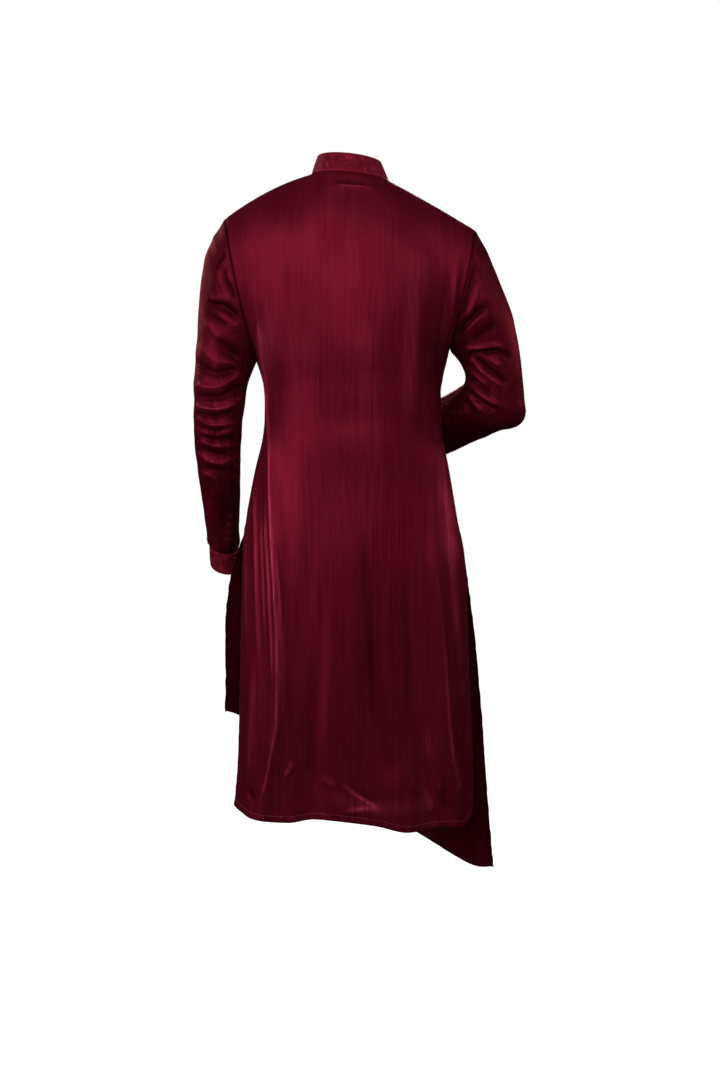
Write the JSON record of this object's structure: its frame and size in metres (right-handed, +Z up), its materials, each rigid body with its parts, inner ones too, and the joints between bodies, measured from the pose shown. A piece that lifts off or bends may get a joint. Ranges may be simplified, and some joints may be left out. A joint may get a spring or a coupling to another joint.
{
  "type": "asymmetric kurta, worn shape",
  "caption": "Hollow worn-shape satin kurta: long front on the wearer's right, short on the left, side slits, band collar, set-in sleeves with cuffs, one arm bent.",
  "frame": {"origin": "between the shoulders at the base of the neck, at the height where the shoulders carry the garment", "axes": "+Z up, the front of the garment faces -Y, the wearer's left is towards +X"},
  "size_m": [0.5879, 0.373, 1.2709],
  "materials": {
    "satin": "maroon satin with a soft lengthwise streak and a bright sheen on its folds",
    "band": "maroon cloth closely covered with tone-on-tone thread work, matt beside the satin",
    "button": "small dark maroon buttons, softly glossy"
  },
  "bodies": {
    "root": {"back_panel": "satin", "front_panel": "satin", "sleeve_left": "satin", "sleeve_right": "satin", "cuff_left": "band", "cuff_right": "band", "collar_stand": "band", "front_placket": "satin", "placket_button_1": "button", "placket_button_2": "button", "placket_button_3": "button", "placket_button_4": "button", "placket_button_5": "button", "cuff_button_left_upper": "button", "cuff_button_left_lower": "button", "cuff_button_right_upper": "button", "cuff_button_right_lower": "button"}
  },
  "joints": []
}
